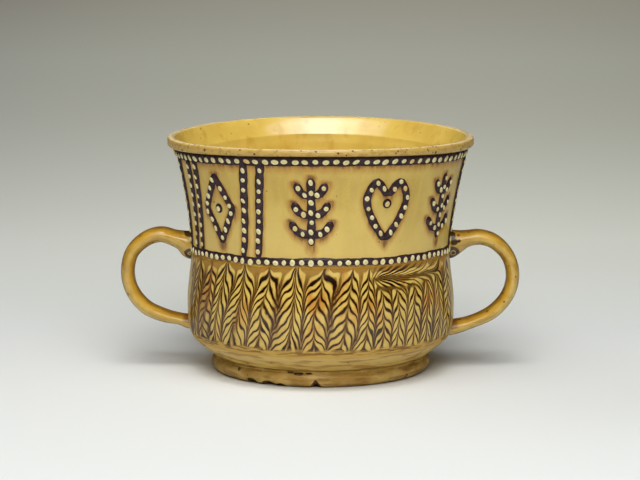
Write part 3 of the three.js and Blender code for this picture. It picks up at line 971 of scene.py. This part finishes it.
def make_foot(finish_with, chip_finish):
    rest_radius = foot_radius - foot_edge
    rest_inner = rest_radius - rest_ring
    profile = [(r, foot_hollow) for r in (0.0, rest_inner / 2, rest_inner - 2.7 * mm)]
    profile.append((rest_inner - 1.2 * mm, foot_hollow / 2))
    profile += [(r, 0.0) for r in (rest_inner, rest_radius - 4 * mm, rest_radius)]
    profile += [(foot_surface(z), z) for z in np.linspace(0.02, 0.86, 14) * foot_height]
    top = foot_height + 0.15 * mm
    profile += [(neck_radius - 0.3 * mm, foot_height - 0.35 * mm), (neck_radius - 0.6 * mm, top)]
    profile += [(neck_radius - 4 * mm, top), (0.0, top)]
    piece = turned(profile, 256)
    piece.data.materials.append(finish_with)
    piece.data.materials.append(chip_finish)
    for angle, up, width, height in chips:
        a = math.radians(angle)
        r = foot_surface(up * mm) + 0.1 * mm
        place = Vector((r * math.cos(a), r * math.sin(a), up * mm))
        put_down()
        bpy.ops.mesh.primitive_ico_sphere_add(subdivisions=3, radius=width / 2 * mm, location=place)
        bpy.ops.transform.resize(value=(1, 1, height / width))
        break_off(piece, bpy.context.object, chip_finish)
    a = math.radians(notch_angle)
    r = foot_radius - 2.5 * mm
    put_down()
    bpy.ops.mesh.primitive_cone_add(vertices=3, radius1=0, radius2=notch_reach, depth=notch_length,
                                    location=(r * math.cos(a), r * math.sin(a), 0.7 * mm),
                                    rotation=(math.pi / 2, 0, a + math.pi / 2))
    bpy.ops.transform.resize(value=(1, 1, notch_flatness))
    tool = bpy.context.object
    open_up(tool)
    bpy.ops.mesh.subdivide(number_cuts=4)
    break_off(piece, tool, chip_finish)
    return finish(piece, "foot_disc", "foot_glaze", "turned_foot", angle=40)


# Pulled handles
def make_handle(name, loop, side, finish_with, node):
    stations = []
    for reach, share, thick in loop:
        z = heel_z + (waist_z - heel_z) * share
        stations.append((radius_at(z) + reach * mm, z, thick * mm))
    root_in, root_drop = 2.6 * mm, 0.5 * mm
    (x0, z0, t0), (x1, z1, t1) = stations[0], stations[-1]
    stations = [(x0 - root_in, z0 - root_drop, t0), *stations, (x1 - root_in, z1 - root_drop, t1)]
    line = spline(stations, 4)
    put_down()
    for i, (x, z, thick) in enumerate(line):
        before, after = line[max(i - 1, 0)], line[min(i + 1, len(line) - 1)]
        turn = math.atan2(side * (after[0] - before[0]), after[1] - before[1])
        t = i / (len(line) - 1)
        swell = abs(2 * t - 1) ** 5
        joint = upper_joint_depth if t < 0.5 else lower_joint_depth
        depth = strap_depth + (joint - strap_depth) * swell
        uneven = 1 + hand.uniform(-0.012, 0.012)
        place = (side * x, 0, z)
        bpy.ops.mesh.primitive_circle_add(vertices=32, radius=depth / 2 * uneven, location=place)
        if i == 0:
            piece = bpy.context.object
            settle(piece)
            open_up(piece)
        bpy.ops.transform.resize(value=(thick / depth, 1, 1), center_override=place)
        bpy.ops.transform.rotate(value=-turn, orient_axis="Y", center_override=place)
    mark_all()
    bpy.ops.mesh.bridge_edge_loops()
    mark_all()
    bpy.ops.mesh.fill_holes(sides=0)
    mark_all()
    bpy.ops.mesh.normals_make_consistent(inside=False)
    put_down()
    apply_modifier(piece, "SUBSURF", levels=1, render_levels=1)
    facing = rows_of(piece.data.vertex_normals, "vector")
    # How far each face turns away from the front, for the handle glaze's painted shade and sheen
    paint(piece, "edge", 1 - np.abs(facing[:, 1]))
    # Which way each face turns, up and inward, for the painted shade and floor reflection and for the
    # corner pooling
    paint(piece, "pooled", facing[:, 2] - 0.7 * side * facing[:, 0])
    piece.data.materials.append(finish_with)
    return finish(piece, name, "handle_glaze", node)


# Slip trails are drawn flat, as width round the cup and height, and then laid on the wall
flat_radius = radius_at(motif_z)


def flat(degrees, z):
    return np.array([math.radians(degrees) * flat_radius, z])


def trail_curve(run, closed=False, widths=(1.0, 1.0)):
    """A domed ribbon of slip along a run, a little uneven, with rounded ends.

    The widths are shares of the trail's width at its start and its end."""
    points = evenly(run, trail_step)
    curve = bpy.data.curves.new("trail", "CURVE")
    curve.dimensions = "3D"
    curve.bevel_depth = ribbon_radius
    curve.bevel_resolution = 3
    curve.use_fill_caps = not closed
    line = curve.splines.new("POLY")
    line.points.add(len(points) - 1)
    swell = hand.uniform(0, math.tau)
    for i, (u, v) in enumerate(points):
        end = min(i, len(points) - 1 - i) * trail_step
        taper = 1.0 if closed else min(1.0, math.sqrt(max(0.06, end / (trail_width / 2))))
        uneven = 1 + 0.06 * math.sin(i * 0.9 + swell) + 0.04 * math.sin(i * 2.3 + 2 * swell)
        if closed:
            uneven = 1 + 0.04 * math.sin(math.tau * 31 * i / (len(points) - 1))
        line.points[i].co = (u, v, 0, 1)
        share = widths[0] + (widths[1] - widths[0]) * i / (len(points) - 1)
        line.points[i].radius = taper * uneven * share
    pick(set_out("trail", curve))
    bpy.ops.object.convert(target="MESH")
    piece = bpy.context.object
    flatten_trail(piece, closed, sum(widths) / 2)
    return piece


def flatten_trail(piece, closed, width):
    """Presses a round ribbon down to its relief and sinks its underside into the wall."""
    sink = 0.4 * mm
    co = points_of(piece)
    co[:, 2] *= (trail_relief + sink) / (ribbon_radius * width)
    co[:, 2] = np.where(co[:, 2] < 0, co[:, 2] * 0.6, co[:, 2]) - sink
    set_points(piece, co)
    if not closed:
        open_up(piece)
        bpy.ops.mesh.remove_doubles(threshold=slip_weld)
        put_down()


def model_dot():
    """One low oval dot with a slight dimple, modelled flat."""
    put_down()
    bpy.ops.mesh.primitive_uv_sphere_add(segments=12, ring_count=8, radius=1.0)
    piece = bpy.context.object
    open_up(piece)
    below = {"plane_co": (0, 0, -0.2), "plane_no": (0, 0, -1)}
    bpy.ops.mesh.bisect(**below, clear_outer=True, use_fill=True)
    put_down()
    co = points_of(piece)
    across = np.hypot(co[:, 0], co[:, 1])
    paint(piece, "across", across)
    co[:, 2] -= 0.22 * np.clip(1 - across / 0.6, 0, 1) * (co[:, 2] > 0)
    set_points(piece, co)
    return piece


def add_dots(ribbon, dot, places, lean, size=(1.25, 1.0), drop=0.0, height=0.5):
    """Copies the dot to its places on a ribbon and joins them to it.

    The lean is in degrees, or None for dots that lean outward."""
    copies = []
    for u, v in places:
        copy = set_out("dot", dot.data.copy())
        long = size[0] * mm * hand.uniform(0.84, 1.16)
        short = size[1] * mm * hand.uniform(0.84, 1.16)
        tilt = leaning_out(u) if lean is None else math.radians(lean)
        turn = Matrix.Rotation(tilt + hand.uniform(-0.25, 0.25), 4, "Z")
        shape = Matrix.Diagonal((long, short, height * mm * hand.uniform(0.9, 1.1), 1))
        slip = (hand.uniform(-0.3, 0.3) * mm, hand.uniform(-0.25, 0.25) * mm - drop)
        place = Matrix.Translation((u + slip[0], v + slip[1], trail_relief - 0.12 * mm))
        copy.data.transform(place @ turn @ shape)
        paint(copy, "stain", [hand.random() ** 7] * len(copy.data.vertices))
        copies.append(copy)
    pick(ribbon, *copies)
    bpy.ops.object.join()
    return ribbon


def lay_on_wall(piece, closed=False):
    """Wraps a flat piece of slip round the wall."""
    co = points_of(piece)
    paint(piece, "rise", np.clip(co[:, 2] / trail_relief, 0, 1))
    set_points(piece, on_wall(co[:, 0] / flat_radius, co[:, 1], co[:, 2]))
    open_up(piece)
    if closed:
        bpy.ops.mesh.remove_doubles(threshold=slip_weld)
    bpy.ops.mesh.normals_make_consistent(inside=False)
    put_down()


def border_run(z, start, end):
    """A level run from one angle to another, with the hand's waver."""
    run = []
    for degrees in np.linspace(start, end, 90):
        waver = 0.22 * mm * math.sin(math.radians(degrees) * 7) + 0.12 * mm * math.sin(degrees * 0.31)
        fade = min(1, (degrees - start) / 10, (end - degrees) / 10)
        run.append(flat(degrees, z + waver * fade))
    return run


def rule_run(degrees, clear=0.6 * mm):
    run = []
    for z in np.linspace(lower_border_z + clear, upper_border_z - clear, 24):
        waver = 0.28 * math.sin(z / mm * 0.13 + degrees)
        lean = rule_lean * (z - motif_z) / (upper_border_z - motif_z)
        run.append(flat(degrees + waver + lean, z))
    return run


def mirrored(stroke):
    return [(-x, y) for x, y in stroke]


def sprig():
    """Upright stem with three pairs of leaves that curve up from it."""
    strokes = [[(0, -0.5), (0.01, 0), (0, 0.5)]]
    for i, foot in enumerate((-0.34, -0.06, 0.22)):
        reach = 0.46 - 0.07 * i
        leaf = spline([(0, foot), (reach * 0.62, foot + 0.05), (reach, foot + 0.2)], 5)
        strokes += [leaf, mirrored(leaf)]
    return strokes


def heart():
    side = spline([(0, -0.5), (0.34, -0.1), (0.45, 0.22), (0.26, 0.48), (0, 0.24)], 6)
    return [side, mirrored(side)]


def lozenge():
    """Four straight strokes that run a little past one another at the corners."""
    rising = [[(-0.04, -0.54), (0.54, 0.04)], [(-0.54, -0.04), (0.04, 0.54)]]
    return rising + [[(x, -y) for x, y in stroke] for stroke in rising]


# Motifs: name, angle, width, height, strokes, and a pellet's height as a share or None
motifs = [
    ("lozenge", 223.3, 17.0, 30.0, lozenge, 0.0),
    ("sprig_a", 266.1, 21.0, 31.0, sprig, None),
    ("heart", 298.0, 22.0, 27.0, heart, 0.12),
    ("sprig_b", 329.9, 21.0, 31.0, sprig, None),
]


def motif_runs(angle, width, height, draw):
    runs = []
    for stroke in draw():
        run = [flat(angle, motif_z) + np.array([x * width, y * height]) * mm for x, y in stroke]
        runs.append(run)
    return runs


def spread(places):
    """The places that keep clear of those before them."""
    kept = []
    for place in places:
        if all(np.linalg.norm(place - other) > dot_gap for other in kept):
            kept.append(place)
    return kept


# How far the dots' long sides turn from level, in degrees
upright = 78
slanting = 115


def leaning_out(u):
    """The dots of the upper border lean away from the middle of the front."""
    return 0.95 * math.cos(u / flat_radius) * math.copysign(1, math.sin(u / flat_radius)) * -1


def make_trail(name, runs, pitch, lean, finishes, node, dot, closed=False, dotted=None,
               widths=(1.05, 1.05), **dots):
    """One piece of slip trailing: its strokes, its dots, laid on the wall."""
    strokes = [trail_curve(run, closed, widths) for run in runs]
    ribbon = strokes[0]
    if len(strokes) > 1:
        pick(*strokes)
        bpy.ops.object.join()
    ribbon.data.materials.clear()
    ribbon.data.materials.append(finishes[0])
    places = spread([p for run in dotted or runs for p in spaced(run, pitch)])
    add_dots(ribbon, dot, places, lean, **dots)
    lay_on_wall(ribbon, closed)
    return finish(ribbon, name, "dark_slip", node)


def make_pellet(name, angle, z, finishes, node, dot):
    """A round drop of dark slip with a dot on it."""
    put_down()
    u, v = flat(angle, z)
    bpy.ops.mesh.primitive_uv_sphere_add(
        segments=24, ring_count=12, radius=pellet_radius, location=(u, v, 0)
    )
    piece = bpy.context.object
    settle(piece)
    co = points_of(piece)
    co[:, 2] *= trail_relief / pellet_radius
    set_points(piece, co)
    piece.data.materials.append(finishes[0])
    add_dots(piece, dot, [(u, v)], upright, size=(1.3, 1.2))
    lay_on_wall(piece)
    return finish(piece, name, "dark_slip", node)


def make_trails(finishes):
    """All the trails, and the runs that they follow."""
    dot = model_dot()
    dot.data.materials.append(finishes[1])
    every_run = []
    ring = [flat(d, upper_border_z) for d in np.linspace(90, 450, 361)]
    every_run.append(ring)
    make_trail("border_upper", [ring], border_pitch, None, finishes, "upper_border", dot, True,
               widths=(1.3, 1.3), size=(1.5, 1.02), drop=0.35 * mm)
    ends = math.degrees(math.asin((upper_joint_depth / 2 + trail_width / 2) / waist_radius))
    for half, turn in (("front", 180), ("back", 0)):
        run = border_run(lower_border_z + 0.3 * mm, turn + ends, turn + 180 - ends)
        every_run.append(run)
        make_trail(f"border_lower_{half}", [run], border_pitch, upright, finishes,
                   f"lower_border_{half}", dot, widths=(0.88, 0.88), size=(1.35, 1.3), drop=0.5 * mm)
        back = turn - 180
        for i, angle in enumerate(rule_angles):
            run = rule_run(angle + back)
            every_run.append(run)
            dotted = [rule_run(angle + back, trail_width / 2 + seam)]
            make_trail(f"rule_{half}_{i + 1}_slip", [run], rule_pitch, slanting, finishes,
                       f"rule_{half}_{i + 1}", dot, dotted=dotted, widths=(0.95, 1.18))
        for name, angle, width, height, draw, pellet in motifs:
            runs = motif_runs(angle + back, width, height, draw)
            every_run += runs
            make_trail(f"{half}_{name}_slip", runs, motif_pitch, slanting, finishes,
                       f"{half}_{name}", dot)
            if pellet is not None:
                make_pellet(f"{half}_{name}_drop", angle + back, motif_z + pellet * height * mm,
                            finishes, f"{half}_{name}_pellet", dot)
    bpy.data.objects.remove(dot)
    return every_run


# Floor, lamps and camera. The paper's painted glow is brightest a little right of the picture's
# middle.
sight_distance = 1.22
sight_width = 0.106
brightest_aside = 0.38
side_falloff = 0.157


def floor_finish():
    """White paper under the lamps, with a painted grey glow, seen only by the camera and in
    reflections, where it runs back from them.
    """
    mix = Recipe("studio_paper")
    depth = {"Value": mix.y, "From Min": 0.0, "From Max": 3.0}
    away = mix.node("ShaderNodeMapRange", sockets=depth)
    stops = [
        (0.03, srgb(0, 0, 0)),
        (0.059, srgb(52, 54, 30)),
        (0.128, srgb(101, 101, 80)),
        (0.22, srgb(110, 110, 91)),
        (0.35, srgb(118, 117, 99)),
        (0.55, srgb(131, 131, 116)),
        (0.88, srgb(134, 130, 116)),
    ]
    grey = mix.node("ShaderNodeValToRGB", {"stops": stops}, {0: away})
    aside = mix.x / (mix.y + sight_distance) / sight_width - brightest_aside
    sight = mix.node("ShaderNodeLightPath", out="Is Camera Ray")
    mirrored = mix.node("ShaderNodeLightPath", out="Is Glossy Ray")
    passed = mix.node("ShaderNodeLightPath", out="Is Transmission Ray")
    seen = mix.math("MINIMUM", sight + mirrored + passed, 1.0)
    seen = seen * (1 - mix.math("MINIMUM", side_falloff * aside * aside, 1.0))
    mix.colour = srgb(231, 233, 230)
    glow = {"Emission Color": mix.blend(seen, srgb(0, 0, 0), grey), "Emission Strength": 1.0}
    return mix.surface({"Roughness": 1.0, **glow})


def set_stage():
    put_down()
    bpy.ops.mesh.primitive_plane_add(size=16, location=(0, 3, 0))
    floor = bpy.context.object
    settle(floor)
    floor.name = "studio_floor"
    floor.data.materials.append(floor_finish())
    world = bpy.data.worlds.new("studio")
    bpy.context.scene.world = world
    world.use_nodes = True
    background = world.node_tree.nodes["Background"].inputs
    background["Color"].default_value = (1, 1, 1, 1)
    background["Strength"].default_value = 0.0


# Lamps: name, place, width, depth, share of the light. The glaze doesn't mirror two of them.
light_level = 11.4
unmirrored = ("softbox_side", "softbox_low")
lamps = [
    ("softbox_middle", (0.0, -0.31, 0.95), 0.3, 0.4, 0.10),
    ("softbox_between", (-0.01, -0.31, 0.95), 0.65, 0.4, 0.18),
    ("softbox_broad", (-0.04, -0.31, 0.95), 1.15, 0.4, 0.31),
    ("softbox_wide", (0.0, -0.85, 0.95), 1.1, 0.35, 0.15),
    ("softbox_front", (-0.05, -1.15, 0.95), 0.6, 0.4, 0.12),
    ("softbox_low", (0.3, -1.5, 0.95), 1.1, 0.4, 0.08),
    ("softbox_side", (-2.2, 1.25, 1.7), 2.0, 1.8, 0.07),
]


def add_lamp(name, place, width, depth, share):
    """A soft lamp over the table, giving its share of the light on the floor at the cup."""
    lamp = bpy.data.lights.new(name, "AREA")
    lamp.shape = "RECTANGLE"
    lamp.size = width
    lamp.size_y = depth
    piece = set_out(name, lamp)
    piece.location = place
    aim = Vector((0, 0, 0.05)) - Vector(place)
    lamp.energy = light_level * share * aim.length**3 / place[2]
    piece.rotation_euler = aim.to_track_quat("-Z", "Y").to_euler()
    piece.visible_glossy = name not in unmirrored


camera_place = (-0.28 * mm, -1220.36 * mm, 251.22 * mm)
camera_tilt = math.radians(81.096)
camera_lens = 148.6


def set_camera():
    camera = bpy.data.cameras.new("camera")
    camera.lens = camera_lens
    camera.sensor_width = 36
    piece = set_out("camera", camera)
    piece.location = camera_place
    piece.rotation_euler = (camera_tilt, 0, 0)
    bpy.context.scene.camera = piece


bpy.context.scene.view_settings.view_transform = "Standard"
set_camera()
set_stage()
for lamp in lamps:
    add_lamp(*lamp)

slips = [dark_slip(), cream_dot()]
slip_runs = make_trails(slips)
make_body(honey_glaze(), slip_runs)
make_coat(feathered_slip())
make_foot(foot_glaze(), bare_clay_and_pit_shade())
clay = handle_glaze()
make_handle("strap_left", left_loop, -1, clay, "handle_left")
make_handle("strap_right", right_loop, 1, clay, "handle_right")

put_down()
